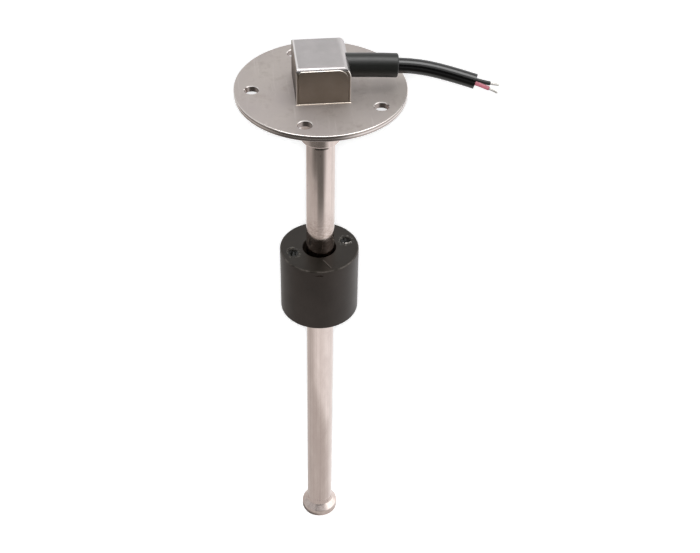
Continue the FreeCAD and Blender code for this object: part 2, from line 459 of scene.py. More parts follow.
def outline_mesh(sharp_corners, loop):
    """Polyline of (radius, height, round) corners, with the height on the second axis."""
    corners = held(sharp_corners)
    mesh = bpy.data.meshes.new("outline")
    points = [(radius, height, 0) for radius, height, bend in corners]
    edges = [(index, index + 1) for index in range(len(points) - 1)]
    if loop:
        edges.append((len(points) - 1, 0))
    mesh.from_pydata(points, edges, [])
    rounds = mesh.attributes.new("round", "FLOAT", "POINT")
    rounds.data.foreach_set("value", [bend for radius, height, bend in corners])
    return mesh


def ring_outline(inner, outer, low, high, rounds):
    """Section of a bored piece, with the rounds of its corners from inner low by outer to inner high."""
    corners = [(inner, low), (outer, low), (outer, high), (inner, high)]
    return [(*corner, bend) for corner, bend in zip(corners, rounds)]


def grown(tree, source, **sizes):
    """Runs a tree on a source mesh and gives the result as a plain mesh."""
    obj = bpy.data.objects.new("source", source)
    modifier = obj.modifiers.new("grown", "NODES")
    modifier.node_group = tree
    for item in tree.interface.items_tree:
        if item.name in sizes:
            modifier[item.identifier] = sizes[item.name]
    scene.collection.objects.link(obj)
    return plain_mesh(obj)


def turned_piece(corners, loop, finish, sides=turned_sides):
    return closed(grown(turned, outline_mesh(corners, loop), Sides=sides, Steps=corner_steps,
                        Guide=sweep_radius, Finish=finish))


# Finishes

def new_finish(name):
    """New material, its shader and the object coordinates that its patterns follow."""
    material = bpy.data.materials.new(name)
    material.use_nodes = True
    shader = material.node_tree.nodes["Principled BSDF"]
    place = add(material.node_tree, "ShaderNodeTexCoord").outputs["Object"]
    return material, shader, place


def axes(vector):
    """The three parts of a place or a direction."""
    return add(vector.id_data, "ShaderNodeSeparateXYZ", {"Vector": vector}).outputs


def facing(place):
    """The three parts of the way that a surface faces at a place."""
    return axes(add(place.id_data, "ShaderNodeNewGeometry").outputs["Normal"])


def reach_of(vector):
    return add(vector.id_data, "ShaderNodeVectorMath", {0: vector}, operation="LENGTH").outputs["Value"]


def from_axis(across, along):
    """Distance from the stem's axis."""
    return reach_of(made(across.id_data, "ShaderNodeCombineXYZ", {"X": across, "Y": along}))


def stretched(place, scale, turn=(0, 0, 0), shift=(0, 0, 0)):
    return made(place.id_data, "ShaderNodeMapping", {
        "Vector": place, "Scale": scale, "Rotation": turn, "Location": shift})


def grain(place, scale, detail=3.0, rough=0.55):
    return made(place.id_data, "ShaderNodeTexNoise", {
        "Vector": place, "Scale": scale, "Detail": detail, "Roughness": rough})


def between(value, low, high, start=0.0, end=1.0):
    """A value from low to high, spread over start to end."""
    return made(value.id_data, "ShaderNodeMapRange", {
        "Value": value, "From Min": low, "From Max": high, "To Min": start, "To Max": end})


def spread(cloud, start=0.0, end=1.0):
    """A noise, from the range that it mostly keeps to, spread over start to end."""
    return between(cloud, 0.3, 0.7, start, end)


def soft(value, low, high):
    """From 0 at low to 1 at high, with soft ends."""
    return made(value.id_data, "ShaderNodeMapRange", {
        "Value": value, "From Min": low, "From Max": high}, interpolation_type="SMOOTHSTEP")


def band(value, edge, start, end):
    """From 0 to 1 between two distances past an edge, in millimetres, with soft ends."""
    return soft(value, edge + start * MM, edge + end * MM)


def mixed(factor, first, second):
    """The first colour where the factor is 0, and the second where it is 1."""
    colours = {0: factor, 6: first, 7: second}
    return add(factor.id_data, "ShaderNodeMix", colours, data_type="RGBA").outputs[2]


def relief(height, distance, strength=1.0, under=None):
    inputs = {"Height": height, "Distance": distance, "Strength": strength}
    if under is not None:
        inputs["Normal"] = under
    return made(height.id_data, "ShaderNodeBump", inputs)


def flange_finish():
    """Satin rolled stainless: cloudy sheen, fine grain, light scuffs, lighter rounded and chamfered edges as
    painted highlight, a painted reflection as a bright band round the rim's middle, and darker cut walls.
    """
    material, shader, place = new_finish("satin_flange_steel")
    cloud = grain(place, 45, 4.0)
    blotch = grain(place, 190, 5.0, 0.65)
    fine = grain(place, 2600, 2.0)
    scuff = grain(stretched(place, (900, 60, 200), (0, 0, 0.5)), 1.0, 3.0)
    tone = mixed(spread(cloud), (0.42, 0.374, 0.360), (0.49, 0.444, 0.412))
    worn = mixed(between(blotch, 0.52, 0.75), tone, (0.385, 0.335, 0.312))
    fleck = between(scuff, 0.60, 0.72, 0.0, 0.3)
    face_tone = mixed(fleck, worn, (0.60, 0.56, 0.54))
    across, along, up = axes(place)
    rim_middle = (flange_low.z + flange_high.z) / 2
    # Painted reflection: a bright band round the middle of the rim's height, darker towards its top and
    # bottom edges
    painted_rim_reflection = band(apart(up, rim_middle), 0, 0.5, 0.1)
    rim = band(from_axis(across, along), flange_high.x, -1.5, -1.0)
    rim_tone = mixed(painted_rim_reflection, (0.46, 0.40, 0.375), (0.82, 0.76, 0.73))
    wall_tone = mixed(rim, (0.36, 0.31, 0.29), rim_tone)
    level = size_of(facing(place)["Z"])
    wall = soft(level, 0.6, 0.25)
    # Painted highlight: rounded and chamfered edges get a lighter colour; they are also fully metallic and
    # smoother
    painted_edge_highlight = times(soft(level, 0.97, 0.88), soft(level, 0.45, 0.62))
    cut = math_of("MAXIMUM", wall, painted_edge_highlight)
    satin = plus(spread(cloud, 0.50, 0.42), times(fine, 0.06))
    grit = relief(fine, 0.004 * MM, 0.6)
    set_inputs(shader, {
        "Base Color": mixed(painted_edge_highlight, mixed(wall, face_tone, wall_tone), (0.78, 0.74, 0.71)),
        "Metallic": between(cut, 0.0, 1.0, 0.58, 1.0),
        "Roughness": minus(satin, times(cut, 0.28)),
        "Normal": relief(blotch, 0.02 * MM, 0.5, grit),
    })
    return material


def polished_steel(name, bright, dull):
    """Polished drawn or turned stainless, with draw lines, handling marks, streaks and a few dark specks."""
    material, shader, place = new_finish(name)
    lines = grain(stretched(place, (1500, 1500, 14)), 1.0, 2.0)
    marks = grain(stretched(place, (260, 260, 90)), 1.0, 4.0)
    streak = grain(stretched(place, (900, 900, 5)), 1.0, 2.0)
    speck = grain(place, 420, 1.0)
    tone = mixed(spread(marks), (0.72, 0.615, 0.575), (0.81, 0.705, 0.66))
    tone = mixed(between(streak, 0.46, 0.70, 0.0, 0.32), tone, (0.56, 0.465, 0.435))
    tone = mixed(between(speck, 0.76, 0.80, 0.0, 0.6), tone, (0.22, 0.18, 0.17))
    drawn = relief(lines, 0.003 * MM, 0.5)
    set_inputs(shader, {
        "Base Color": tone,
        "Metallic": 1.0,
        "Roughness": plus(spread(marks, dull, bright), times(lines, 0.03)),
        "Normal": relief(marks, 0.008 * MM, 0.4, drawn),
    })
    return material, shader, place, tone


def stem_finish():
    """The stem's steel, rubbed brown where the float rests, with a painted shadow line in front under the
    collar.
    """
    material, shader, place, tone = polished_steel("polished_stem_steel", 0.08, 0.13)
    _, along, up = axes(place)
    smudge = grain(stretched(place, (650, 650, 1300)), 1.0, 3.0)
    zone = times(band(up, float_high.z, 24, 6), band(up, float_high.z, -20, -2))
    rubbed = times(zone, between(smudge, 0.36, 0.66, 0.12, 0.85))
    tone = mixed(rubbed, tone, (0.42, 0.33, 0.28))
    # Painted shadow: a dark line on the stem's front face, just under the collar
    painted_collar_shadow = times(band(up, collar_low.z, -2.4, -2.1), band(along, 0, -5.2, -5.5))
    set_inputs(shader, {"Base Color": mixed(painted_collar_shadow, tone, (0.22, 0.19, 0.17))})
    return material


def head_sheet_steel(name, light, dark, dull, bright):
    """Bent stainless sheet: cooler and finer than the flange, with faint roll marks along its length."""
    material, shader, place = new_finish(name)
    cloud = grain(place, 120, 4.0)
    roll = grain(stretched(place, (60, 1800, 900)), 1.0, 2.0)
    tone = mixed(spread(cloud), dark, light)
    grit = relief(roll, 0.004 * MM, 0.5)
    set_inputs(shader, {
        "Metallic": 1.0,
        "Roughness": plus(spread(cloud, dull, bright), times(roll, 0.08)),
        "Normal": relief(cloud, 0.012 * MM, 0.5, grit),
    })
    return material, shader, place, tone


def plate_finish():
    """Warm satin sheet of the head's two ends, with a painted highlight on its upward-facing rim, duller on
    the bead at its foot.
    """
    material, shader, place, tone = head_sheet_steel(
        "head_plate_steel", (0.37, 0.315, 0.265), (0.31, 0.265, 0.22), 0.32, 0.25)
    _, along, up = facing(place)
    # Painted highlight: the rim's upward-facing round is lightened, less on the bead at its foot
    painted_edge_highlight = times(soft(size_of(along), 0.96, 0.75), soft(up, 0.1, 0.4))
    foot = band(axes(place)["Z"], flange_high.z, 0.6, 0.45)
    bright = mixed(foot, (0.80, 0.74, 0.68), (0.60, 0.53, 0.46))
    set_inputs(shader, {"Base Color": mixed(painted_edge_highlight, tone, bright)})
    return material


def wrap_finish():
    """Cool satin sheet of the head's wrap, with painted highlights on its far bend and its upright corners,
    ground ends, and painted shade, brown and patchy, on its far wall.
    """
    material, shader, place, tone = head_sheet_steel(
        "head_wrap_steel", (0.48, 0.455, 0.455), (0.40, 0.38, 0.38), 0.32, 0.24)
    across, along, _ = facing(place)
    endways = size_of(along)
    # Painted highlight: the far bend, facing minus X, is lightened
    painted_bend_highlight = times(soft(across, -0.12, -0.3), soft(along, -0.5, -0.3))
    tone = mixed(painted_bend_highlight, tone, (0.86, 0.83, 0.82))
    tone = mixed(soft(endways, 0.85, 0.96), tone, (0.345, 0.295, 0.248))
    # Painted shade on the far wall, facing minus X: browned and darkened, patchy, most near its foot and
    # front edge
    _, back, height = axes(place)
    near_foot = between(height, wrap_low.z, wrap_high.z, 1.0, 0.42)
    near_front = between(back, wrap_low.y, wrap_high.y, 1.0, 0.72)
    patchy = spread(grain(place, 110, 4.0), -0.07, 0.07)
    far_shade_depth = plus(times(near_foot, near_front), patchy)
    shaded_tone = mixed(soft(far_shade_depth, 0.1, 0.42), tone, (0.19, 0.145, 0.115))
    deep_shaded_tone = mixed(soft(far_shade_depth, 0.34, 0.85), shaded_tone, (0.05, 0.038, 0.034))
    painted_far_wall_shade = soft(across, -0.68, -0.86)
    tone = mixed(painted_far_wall_shade, tone, deep_shaded_tone)
    # Painted highlight: the rounded upright corners are lightened
    painted_corner_highlight = times(soft(size_of(across), 0.2, 0.4), soft(endways, 0.2, 0.4))
    satin = shader.inputs["Roughness"].links[0].from_socket
    set_inputs(shader, {
        "Base Color": mixed(painted_corner_highlight, tone, (0.84, 0.79, 0.74)),
        "Roughness": plus(satin, times(painted_far_wall_shade, 0.15)),
    })
    return material


def foam_finish():
    """Closed-cell foam: matt black, finely pored, greener on top, lighter on its rim, partly worn and partly
    painted highlight, and with a painted highlight along its crease.
    """
    material, shader, place = new_finish("float_foam_skin")
    cloud = grain(place, 70, 4.0)
    pore = made(place.id_data, "ShaderNodeTexVoronoi", {"Vector": place, "Scale": 1900.0})
    top = between(axes(place)["Z"], float_high.z - 0.6 * MM, float_high.z - 0.2 * MM)
    side_tone = mixed(spread(cloud), (0.015, 0.0112, 0.0090), (0.024, 0.0180, 0.0148))
    top_tone = mixed(spread(cloud), (0.012, 0.0105, 0.0082), (0.019, 0.0165, 0.0126))
    tone = mixed(top, side_tone, top_tone)
    flat = stretched(place, (1, 1, 0), shift=(-float_axis.x, -float_axis.y, 0))
    rim = band(reach_of(flat), float_radius, -0.7, -0.25)
    patchy = between(grain(place, 260, 4.0), 0.42, 0.62, 0.0, 0.8)
    # Lighter patches round the top rim: partly worn, partly painted highlight
    rim_wear_and_highlight = times(times(rim, top), patchy)
    line = Vector(crease_end) - Vector(crease_start)
    from_start = stretched(place, (1, 1, 0), shift=(-crease_start[0], -crease_start[1], 0))
    on_line = stretched(from_start, (1, 1, 1), turn=(0, 0, -math.atan2(line.y, line.x)))
    along, beside, _ = axes(on_line)
    lip = soft(apart(beside, crease_width), crease_width, 0.0)
    inside = soft(apart(along, line.length / 2), line.length / 2, 0.4 * line.length)
    # Painted highlight along both lips of the crease
    painted_crease_highlight = times(times(lip, inside), between(top, 0, 1, 0, 0.6))
    wear_and_painted_highlight = math_of("MAXIMUM", rim_wear_and_highlight, painted_crease_highlight)
    set_inputs(shader, {
        "Base Color": mixed(wear_and_painted_highlight, tone, (0.14, 0.125, 0.11)),
        "Roughness": spread(cloud, 0.42, 0.33),
        "Normal": relief(pore, 0.02 * MM, 0.4),
        "Specular IOR Level": 0.36,
        "Specular Tint": (1.0, 0.88, 0.82),
    })
    return material


def compound_finish():
    """Filler torn out over the magnets: black in its cracks, lighter on its raised lips as painted highlight,
    with one lighter painted glint.
    """
    material, shader, place = new_finish("magnet_compound")
    lump = grain(place, lump_scale, 4.0)
    lip = between(axes(place)["Z"], float_high.z - 0.25 * MM, float_high.z + 0.4 * MM)
    # Painted highlight: raised lips are lighter, while pits and cracks keep the filler's black
    painted_lip_light = times(lip, between(lump, 0.35, 0.6))
    tone = mixed(painted_lip_light, (0.004, 0.004, 0.003), (0.16, 0.145, 0.115))
    # Painted glint: one lighter, ragged spot in one plug
    flat = stretched(place, (1, 1, 0), shift=(-glint_place[0], -glint_place[1], 0))
    from_glint = reach_of(stretched(flat, (1.0, 2.2, 1.0), turn=(0, 0, glint_turn)))
    torn = times(minus(lump, 0.5), 4 * MM)
    painted_glint = between(plus(from_glint, torn), glint_radius, 0.7 * glint_radius)
    set_inputs(shader, {
        "Base Color": mixed(painted_glint, tone, (0.70, 0.67, 0.63)),
        "Roughness": between(lump, 0.35, 0.65, 0.5, 0.25),
        "Normal": relief(lump, 0.15 * MM, 0.6),
    })
    return material


def rubber_finish(name, deep, worn, dull, bright, scale, gloss):
    """Black rubber or vinyl with a cloudy bloom and a fine moulded skin."""
    material, shader, place = new_finish(name)
    cloud = grain(place, scale, 4.0)
    skin = grain(place, 3200, 2.0)
    set_inputs(shader, {
        "Base Color": mixed(spread(cloud), deep, worn),
        "Roughness": spread(cloud, dull, bright),
        "Normal": relief(skin, 0.006 * MM, 0.5),
        "Specular IOR Level": gloss,
    })
    return material


def plain_finish(name, light, dark, dull, metal=0.0, scale=400):
    """Finish of a small or inner piece: two close tones and a fine grain."""
    material, shader, place = new_finish(name)
    cloud = grain(place, scale, 3.0)
    set_inputs(shader, {
        "Base Color": mixed(spread(cloud), dark, light),
        "Metallic": metal,
        "Roughness": spread(cloud, dull * 1.15, dull * 0.85),
        "Normal": relief(cloud, 0.01 * MM, 0.5),
    })
    return material


# Cable

def route_curve(name, points):
    """Smooth NURBS line with a route's points as its control points."""
    data = bpy.data.curves.new(name, "CURVE")
    data.dimensions = "3D"
    data.resolution_u = route_steps
    spline = data.splines.new("NURBS")
    spline.points.add(len(points) - 1)
    for control, point in zip(spline.points, points):
        control.co = (*point, 1.0)
    spline.order_u = 3
    spline.use_endpoint_u = True
    return data


def route_points(points):
    """Points along a route's NURBS line."""
    line = plain_mesh(new_object("line", route_curve("line", points)))
    return [vertex.co.copy() for vertex in line.vertices]


def walk(points, distance):
    """Place and heading at a distance along a line of points."""
    for start, end in zip(points, points[1:]):
        step = (end - start).length
        if distance <= step or end is points[-1]:
            return start + (end - start) * (distance / step), (end - start).normalized()
        distance -= step


def sleeve_along(points, stations, loop=False, sides=sleeve_sides):
    """Round skin along a line, from (distance, radius) stations, which a loop closes into a bore."""
    rings = []
    for distance, radius in stations:
        centre, heading = walk(points, distance)
        across = heading.cross(upward).normalized()
        rings.append(round_ring(centre, across, across.cross(heading), radius, sides))
    return skin_mesh("sleeve", rings, loop)


def make_cable(finish):
    data = route_curve("cable", cable_route)
    data.bevel_depth = cable_diameter / 2
    data.bevel_resolution = cable_steps
    data.use_fill_caps = True
    return finished("cable", data, finish, "sender", "jacket_vinyl", "cable_jacket")


def make_boot(finish):
    """Rubber sleeve with rounded ends, bored for the cable."""
    begin = wrap_high.x - head_sheet - boot_grip - cable_route[0][0]
    outer = boot_diameter / 2
    inner = cable_diameter / 2 + fit_gap
    straight = boot_length - 2 * boot_round
    spans = 24
    rim = []
    for turn in quarter(corner_steps):
        rim.append((boot_round * (1 - math.cos(turn)), outer - boot_round * (1 - math.sin(turn))))
    stations = [(begin + along, radius) for along, radius in rim]
    stations += [(begin + boot_round + straight * index / spans, outer) for index in range(1, spans)]
    stations += [(begin + boot_length - along, radius) for along, radius in reversed(rim)]
    stations += [(begin + boot_length * (1 - index / spans), inner) for index in range(spans + 1)]
    mesh = sleeve_along(route_points(cable_route), stations, True)
    return finished("boot", mesh, finish, "sender", "boot_rubber", "strain_relief_boot")


def cable_bore(radius):
    """Cutter along the cable where it goes through the head's wall."""
    begin = wrap_high.x - 2 * head_sheet - boot_grip - cable_route[0][0]
    spans = 8
    stations = [(begin + boot_length / 2 * index / spans, radius) for index in range(spans + 1)]
    return new_object("bore", sleeve_along(route_points(cable_route), stations))


def core_route(side):
    """One core from the cable's cut end, bending a little away from the other."""
    last = Vector(cable_route[-1])
    heading = (last - Vector(cable_route[-2])).normalized()
    sideways = heading.cross(upward).normalized() * side
    start = last + sideways * core_spread
    bend = start + heading * (core_length / 2)
    end = bend + (heading * math.cos(core_splay) + sideways * math.sin(core_splay)) * (core_length / 2)
    return [start, bend, end]


def make_core(name, side, finish, slot, node):
    """Insulation of one core, with a broken edge at its end."""
    points = route_points(core_route(side))
    length = sum((end - start).length for start, end in zip(points, points[1:]))
    radius = core_diameter / 2
    spans = 11
    stations = [((length - edge_break) * index / spans, radius) for index in range(spans + 1)]
    stations.append((length, radius - edge_break))
    mesh = sleeve_along(points, stations, sides=core_sides)
    return finished(name, mesh, finish, "sender", slot, node)


def make_tinned_ends(finish):
    """Twisted strands past the end of each core."""
    work = bmesh.new()
    wire = tinned_diameter / 6
    for side in (1, -1):
        _, bend, end = core_route(side)
        strands = grown(twisted, bpy.data.meshes.new("seat"), Strands=strand_count, Wire=wire, Lay=2 * wire,
                        Length=tinned_length, Turns=strand_turns, Finish=finish)
        turn = (end - bend).to_track_quat("Z", "Y").to_matrix().to_4x4()
        strands.transform(Matrix.Translation(end) @ turn)
        work.from_mesh(strands)
    mesh = mesh_of("tinned_ends", work)
    return finished("tinned_ends", mesh, finish, "sender", "tinned_wire", "tinned_core_ends")


# Turned pieces

def make_flange(finish):
    corners = ring_outline(collar_high.x + fit_gap, flange_high.x, flange_low.z, flange_high.z,
                           (edge_break, flange_chamfer, flange_round, edge_break))
    mesh = grown(drilled, outline_mesh(corners, True), Sides=wide_sides, Steps=corner_steps,
                 Guide=sweep_radius, Holes=bolts["count"], Circle=bolts["pcd_mm"] / 2 * MM,
                 First=first_hole_angle, Hole=bolts["hole_r_mm"] * MM, Chamfer=hole_chamfer,
                 Top=flange_high.z, Finish=finish)
    return finished("flange", closed(mesh), finish, "sender", "flange_steel", "flange_plate")


def make_collar(finish):
    corners = ring_outline(stem_high.x + fit_gap, collar_high.x, collar_low.z, collar_high.z,
                           (edge_break, collar_round, edge_break, edge_break))
    mesh = turned_piece(corners, True, finish)
    return finished("collar", mesh, finish, "sender", "stem_steel", "neck_collar")


def make_stem(finish):
    corners = ring_outline(stem_high.x - stem_wall, stem_high.x, stem_low.z, stem_high.z,
                           (0, edge_break, edge_break, 0))
    mesh = turned_piece(corners, True, finish)
    return finished("stem", mesh, finish, "sender", "stem_steel", "stem_tube")


def make_end_plug(finish):
    spigot = stem_high.x - stem_wall - fit_gap
    shoulder = plug_low.z + plug_side
    mesh = turned_piece([
        (0, plug_low.z, 0),
        (plug_high.x, plug_low.z, plug_foot_round),
        (plug_high.x, shoulder, plug_round),
        (stem_high.x, shoulder + plug_flare, plug_fillet),
        (stem_high.x, stem_low.z, edge_break),
        (spigot, stem_low.z, 0),
        (spigot, plug_high.z, 0),
        (0, plug_high.z, 0),
    ], False, finish)
    return finished("foot_plug", mesh, finish, "sender", "stem_steel", "end_plug")


# Head box

def bent_corner(corner, bend, start):
    """Points round one bent corner of two axes, with one more at each end to keep the flats flat."""
    across, up = corner
    turns = [start + turn for turn in quarter(bend_steps)]
    centre_x = across - bend * (math.cos(start) - math.sin(start))
    centre_z = up - bend * (math.cos(start) + math.sin(start))
    arc = [(centre_x + bend * math.cos(turn), centre_z + bend * math.sin(turn)) for turn in turns]
    before = (arc[0][0] + bend_margin * math.sin(start), arc[0][1] - bend_margin * math.cos(start))
    after = (arc[-1][0] - bend_margin * math.cos(start), arc[-1][1] - bend_margin * math.sin(start))
    return [before] + arc + [after]


def bent_outline(side, top, first_bend, second_bend):
    """Upside-down U in two axes, from the plus side to the minus side."""
    points = bent_corner((side, top), first_bend, 0)
    points += bent_corner((-side, top), second_bend, math.pi / 2)
    return [(side, wrap_low.z)] + points + [(-side, wrap_low.z)]


def arch_points(inset, side_inset):
    """Outline of the head box in X and Z, drawn in at its top and sides, from the cable's side."""
    return bent_outline(wrap_high.x - side_inset, wrap_high.z - inset, head_cable_bend, head_far_bend)


def prism(name, outline, begin, end, upright):
    """Block with an outline of two axes, from one place to another along the third."""
    rings = []
    for place in (begin, end):
        rings.append([(across, place, up) if upright else (place, across, up) for across, up in outline])
    return new_object(name, skin_mesh(name, rings))


def head_rings(stations):
    """Outlines of the head at (place along Y, inset of top, inset of sides) stations."""
    rings = []
    for along, inset, side_inset in stations:
        rings.append([(across, along, up) for across, up in arch_points(inset, side_inset)])
    return rings


def make_wrap(finish):
    """Bent sheet with rolled-over ends, rounded upright edges and a hole for the boot."""
    room = 2 * head_sheet
    rim = [(wrap_low.y, wrap_edge + bend_margin)]
    for turn in quarter(rim_steps):
        rim.append((wrap_low.y + wrap_edge * (1 - math.cos(turn)), wrap_edge * (1 - math.sin(turn))))
    rim.append((wrap_low.y + wrap_edge + bend_margin, 0))
    rim += [(-along, inset) for along, inset in reversed(rim)]
    block = skin_mesh("wrap", head_rings([(along, inset, inset) for along, inset in rim]))
    rolled = bent_outline(wrap_high.y, wrap_high.z, head_roll, head_roll)
    roof = prism("roof", rolled, wrap_low.x - room, wrap_high.x + room, False)
    inside = arch_points(head_sheet, head_sheet)
    hollow = prism("hollow", inside, wrap_low.y - room, wrap_high.y + room, True)
    bore = cable_bore(boot_diameter / 2 + fit_gap)
    mesh = carved(block, [hollow, bore], [roof])
    return finished("wrap", mesh, finish, "sender", "head_steel", "head_wrap")


def make_end_plate(name, low, high, outward, finish, node):
    """Flat end of the head, with a rounded rim and a thin braze bead along its foot."""
    face, back = (low.y, high.y) if outward < 0 else (high.y, low.y)
    seat = head_sheet + fit_gap
    stations = [(back, seat, seat)]
    for turn in quarter(rim_steps):
        along = face - outward * plate_edge * (1 - math.sin(turn))
        inset = 1 - math.cos(turn)
        stations.append((along, seat + plate_edge * inset, seat + plate_side_edge * inset))
    stations.append((face, seat + plate_edge + bend_margin, seat + plate_side_edge + bend_margin))
    work = bmesh.new()
    lay_skin(work, head_rings(stations))
    root = face - outward * bead_width / 2
    bead = [(root, low.z), (face + outward * bead_width, low.z)]
    for index in range(1, rim_steps):
        share = index / rim_steps
        bow = 1 - bead_hollow * math.sin(math.pi * share)
        bead.append((face + outward * bead_width * (1 - share) * bow, low.z + bead_height * share * bow))
    bead += [(face, low.z + bead_height), (root, low.z + bead_height)]
    reach = high.x + head_sheet
    lay_skin(work, [[(side, along, up) for along, up in bead] for side in (-reach, reach)])
    return finished(name, mesh_of(name, work), finish, "sender", "head_steel", node)


# Float

def compound_places():
    """Centres of the two plugs over the magnets, on the float's top."""
    middle = (compound_low + compound_high) / 2
    reach = (compound_high - compound_low) / 2 - Vector((1, 1, 0)) * (pocket_radius - fit_gap)
    return [middle + Vector((side * reach.x, side * reach.y, 0)) for side in (1, -1)]


def pocket_cutter():
    """Cutter for the two magnet pockets."""
    work = bmesh.new()
    bottom = float_high.z - pocket_depth
    top = float_high.z + pocket_radius
    for place in compound_places():
        at = Matrix.Translation((place.x, place.y, (bottom + top) / 2))
        bmesh.ops.create_cone(work, cap_ends=True, segments=pocket_sides, radius1=pocket_radius,
                              radius2=pocket_radius, depth=top - bottom, matrix=at)
    return new_object("pockets", mesh_of("pockets", work))


def slit_cutter(name, spots, width, depth):
    """Thin lens that cuts a slit, along (place, outward, sideways) spots on a skin."""
    rings = []
    for index, (place, outward, sideways) in enumerate(spots):
        swell = slit_tip + math.sin(math.pi * (index / (len(spots) - 1)) ** slit_lean)
        section = ((depth, 0), (0, width / 2), (-depth * swell, 0), (0, -width / 2))
        rings.append([place + outward * out + sideways * (side * swell) for out, side in section])
    return new_object(name, skin_mesh(name, rings))


def nick_cutter():
    """Slit in the float's side, just under its top rim."""
    spans = 16
    spots = []
    for index in range(spans + 1):
        angle = nick_start + (nick_end - nick_start) * index / spans
        way = Vector((math.cos(angle), math.sin(angle), 0))
        place = float_axis + way * float_radius + upward * (float_high.z - nick_drop)
        spots.append((place, way, upward))
    return slit_cutter("nick", spots, nick_height, nick_depth)


def crease_cutter():
    """Slit across the float's top, from its bore towards the rim."""
    spans = 12
    start = Vector((*crease_start, float_high.z))
    end = Vector((*crease_end, float_high.z))
    sideways = (end - start).cross(upward).normalized()
    spots = [(start.lerp(end, index / spans), upward, sideways) for index in range(spans + 1)]
    return slit_cutter("crease", spots, crease_width, crease_depth)


def make_float(finish):
    corners = ring_outline(float_bore, float_radius, float_low.z, float_high.z,
                           (float_bore_round, float_round, float_round, float_bore_round))
    mesh = turned_piece(corners, True, finish, wide_sides)
    mesh.transform(Matrix.Translation(float_axis))
    mesh = carved(mesh, [pocket_cutter(), nick_cutter(), crease_cutter()])
    return finished("float", mesh, finish, "float", "float_foam", "float_body")


def scar_point(place, way, share, seed):
    """Point of the torn filler, at a share of the way from its middle to its ragged edge."""
    ragged = 1 + sum(size * noise.noise(way * scale + seed) for size, scale in scar_waves)
    spot = way * scar_radius * ragged * share
    lump = noise.fractal(spot * lump_scale + seed, lump_falloff, lump_step, lump_octaves)
    crack = max(0, 1 - abs(noise.noise(spot * crack_scale + seed)) / crack_width)
    lip = scar_lip * (lump_lift + lump) * (1 - share ** 6) * share
    pit = scar_pit * (1 - share ** 2) ** 2 + scar_crack * crack * (1 - share ** 4)
    return (place.x + spot.x, place.y + spot.y, float_high.z + lip - pit - scar_sink * share)


def make_compound(finish):
    """Torn filler that closes each magnet pocket: a stub in the pocket under a ragged cap."""
    work = bmesh.new()
    east, north = Vector((1, 0, 0)), Vector((0, 1, 0))
    ways = round_ring(Vector(), east, north, 1, scar_sides)
    neck = pocket_radius - fit_gap
    for place, seed in zip(compound_places(), scar_seeds):
        rings = []
        for row in range(scar_rows + 1):
            rings.append([scar_point(place, way, row / scar_rows, seed) for way in ways])
        for height in (float_high.z - 2 * scar_pit, compound_low.z):
            centre = Vector((place.x, place.y, height))
            rings.append(round_ring(centre, east, north, neck, scar_sides))
        lay_skin(work, rings, caps=(-1,))
    return finished("compound", mesh_of("compound", work), finish, "float", "plug_compound", "magnet_plugs")


# Stage: floor, cards that the metal mirrors, lamps, world and camera

def stage_finish(name):
    """New empty material and its tree, for the stage."""
    material = bpy.data.materials.new(name)
    material.use_nodes = True
    material.node_tree.nodes.clear()
    return material, material.node_tree


def flat_card(name, corners, material):
    mesh = bpy.data.meshes.new(name)
    mesh.from_pydata(corners, [], [tuple(range(len(corners)))])
    mesh.materials.append(material)
    card = new_object(name, mesh)
    return card


def level_corners(height):
    """Corners of a level card as wide as the floor."""
    return [(x * floor_reach, y * floor_reach, height) for x, y in ((-1, -1), (1, -1), (1, 1), (-1, 1))]


def mirrored_card(name, corners, material):
    """Studio card that only mirrored rays see."""
    card = flat_card(name, corners, material)
    for ray in ("camera", "diffuse", "transmission", "volume_scatter", "shadow"):
        setattr(card, "visible_" + ray, False)


def make_floor(height):
    """Pale floor, which takes the shadow: lifted to white for the camera, duller where it lights the part."""
    material, tree = stage_finish("pale_floor")
    seen = add(tree, "ShaderNodeLightPath").outputs["Is Camera Ray"]
    reach = reach_of(add(tree, "ShaderNodeTexCoord").outputs["Object"])
    tone = mixed(seen, (0.5, 0.5, 0.5), (1.15, 1.15, 1.15))
    lift = between(reach, 0.35, 0.8, 0.28, 0.6)
    paper = made(tree, "ShaderNodeBsdfDiffuse", {"Color": tone})
    light = made(tree, "ShaderNodeEmission", {"Strength": times(seen, lift)})
    both = made(tree, "ShaderNodeAddShader", {0: paper, 1: light})
    add(tree, "ShaderNodeOutputMaterial", {"Surface": both})
    flat_card("floor", level_corners(height), material)


